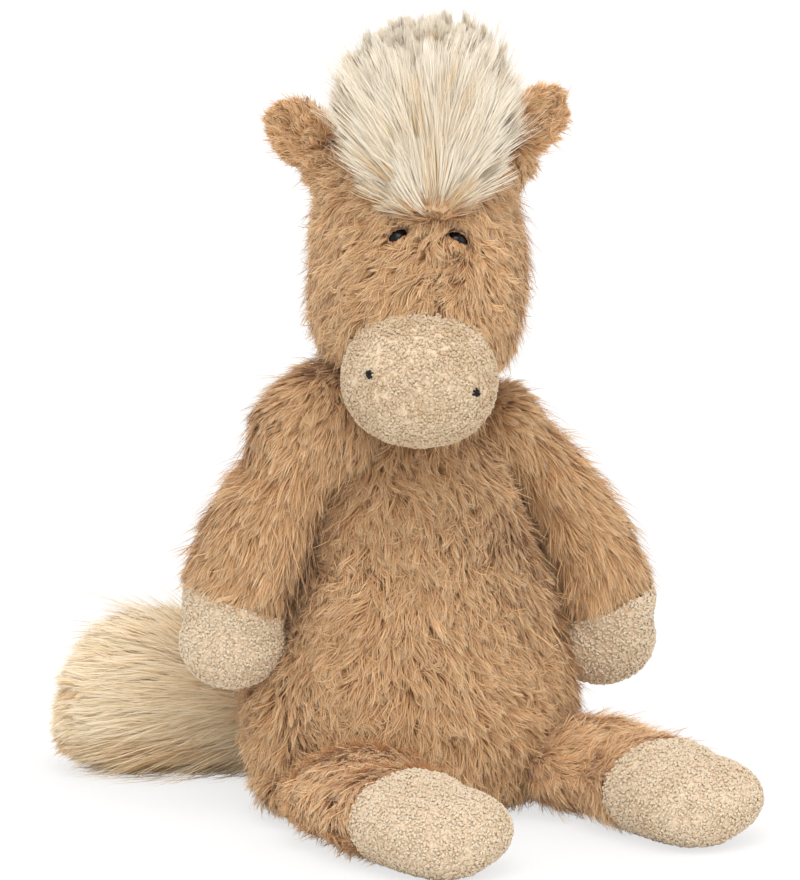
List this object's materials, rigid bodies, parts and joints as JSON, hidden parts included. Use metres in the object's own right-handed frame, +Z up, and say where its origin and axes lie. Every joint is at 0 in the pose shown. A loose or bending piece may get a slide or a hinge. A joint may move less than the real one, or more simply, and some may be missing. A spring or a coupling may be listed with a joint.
{
  "type": "plush horse",
  "caption": "Seated plush horse in camel fur with a looped cream muzzle, hands and feet, a long cream forelock, mane and tail, half-hidden black eyes, and limbs, ears, head and tail that move",
  "frame": {"origin": "The middle of the flat seat under the torso, on the floor", "axes": "Z is up, the horse's chest and feet point to -Y, its own left is +X, and its tail leaves towards +Y and is laid round to -X"},
  "size_m": [0.2283, 0.3195, 0.3649],
  "materials": {
    "fur_camel": "camel plush of 16 to 19 mm pile, brushed in locks",
    "boucle_cream": "cream looped plush of 4 mm curls",
    "long_fur_cream": "long straight cream pile",
    "fibre_fill": "white polyester stuffing",
    "pouch_cotton": "plain cotton pouch of plastic beans",
    "eye_black": "polished black",
    "washer_white": "plain moulded",
    "thread_black": "six-strand cotton thread",
    "thread_tan": "strong sewing thread"
  },
  "bodies": {
    "torso": {"torso_cover": "fur_camel", "torso_fibre_fill": "fibre_fill", "seat_bean_pouch": "pouch_cotton", "closing_stitch": "thread_tan"},
    "neck": {"neck_fibre_plug": "fibre_fill"},
    "head": {"head_cover": "fur_camel", "head_fibre_fill": "fibre_fill", "muzzle_cover": "boucle_cream", "eye_left": "eye_black", "eye_right": "eye_black", "eye_washer_left": "washer_white", "eye_washer_right": "washer_white", "nostril_stitch_left": "thread_black", "nostril_stitch_right": "thread_black", "forelock": "long_fur_cream", "mane": "long_fur_cream"},
    "tail": {"tail_core": "fur_camel", "tail_fur": "long_fur_cream"},
    "ear_left": {"ear_back_left": "fur_camel", "ear_lining_left": "fur_camel"},
    "arm_left": {"arm_cover_left": "fur_camel", "arm_fibre_fill_left": "fibre_fill", "hand_cover_left": "boucle_cream", "hand_bean_pouch_left": "pouch_cotton"},
    "leg_left": {"leg_cover_left": "fur_camel", "leg_fibre_fill_left": "fibre_fill", "foot_cover_left": "boucle_cream", "foot_bean_pouch_left": "pouch_cotton"},
    "ear_right": {"ear_back_right": "fur_camel", "ear_lining_right": "fur_camel"},
    "arm_right": {"arm_cover_right": "fur_camel", "arm_fibre_fill_right": "fibre_fill", "hand_cover_right": "boucle_cream", "hand_bean_pouch_right": "pouch_cotton"},
    "leg_right": {"leg_cover_right": "fur_camel", "leg_fibre_fill_right": "fibre_fill", "foot_cover_right": "boucle_cream", "foot_bean_pouch_right": "pouch_cotton"}
  },
  "joints": [
    {"name": "neck_turn", "type": "hinge", "parent": "torso", "child": "neck", "pos_m": [0, 0, 0.19225], "axis": [0, 0, 1], "range_deg": [-12, 50]},
    {"name": "head_nod", "type": "hinge", "parent": "neck", "child": "head", "pos_m": [0, 0, 0.19225], "axis": [0.891, -0.454, 0], "range_deg": [-18, 4]},
    {"name": "shoulder_left", "type": "hinge", "parent": "torso", "child": "arm_left", "pos_m": [0.03998, 0, 0.164], "axis": [-0.9397, 0, -0.342], "range_deg": [-45, 60]},
    {"name": "shoulder_right", "type": "hinge", "parent": "torso", "child": "arm_right", "pos_m": [-0.03525, 0, 0.177], "axis": [-0.9397, 0, 0.342], "range_deg": [-50, 55]},
    {"name": "hip_left", "type": "hinge", "parent": "torso", "child": "leg_left", "pos_m": [0.051, -0.05317, 0.016], "axis": [-1, 0, 0], "range_deg": [-80, 40]},
    {"name": "hip_right", "type": "hinge", "parent": "torso", "child": "leg_right", "pos_m": [-0.051, -0.05318, 0.016], "axis": [-1, 0, 0], "range_deg": [-80, 40]},
    {"name": "ear_fold_left", "type": "hinge", "parent": "head", "child": "ear_left", "pos_m": [0.04204, -0.02196, 0.30576], "axis": [-0.53, 0.27, 0.8039], "range_deg": [-25, 20]},
    {"name": "ear_fold_right", "type": "hinge", "parent": "head", "child": "ear_right", "pos_m": [-0.037, 0.01709, 0.30112], "axis": [0.4918, -0.2506, 0.8339], "range_deg": [-20, 25]},
    {"name": "tail_turn", "type": "hinge", "parent": "torso", "child": "tail", "pos_m": [0, 0.07089, 0.024], "axis": [0, 0, 1], "range_deg": [-114, 3]}
  ]
}
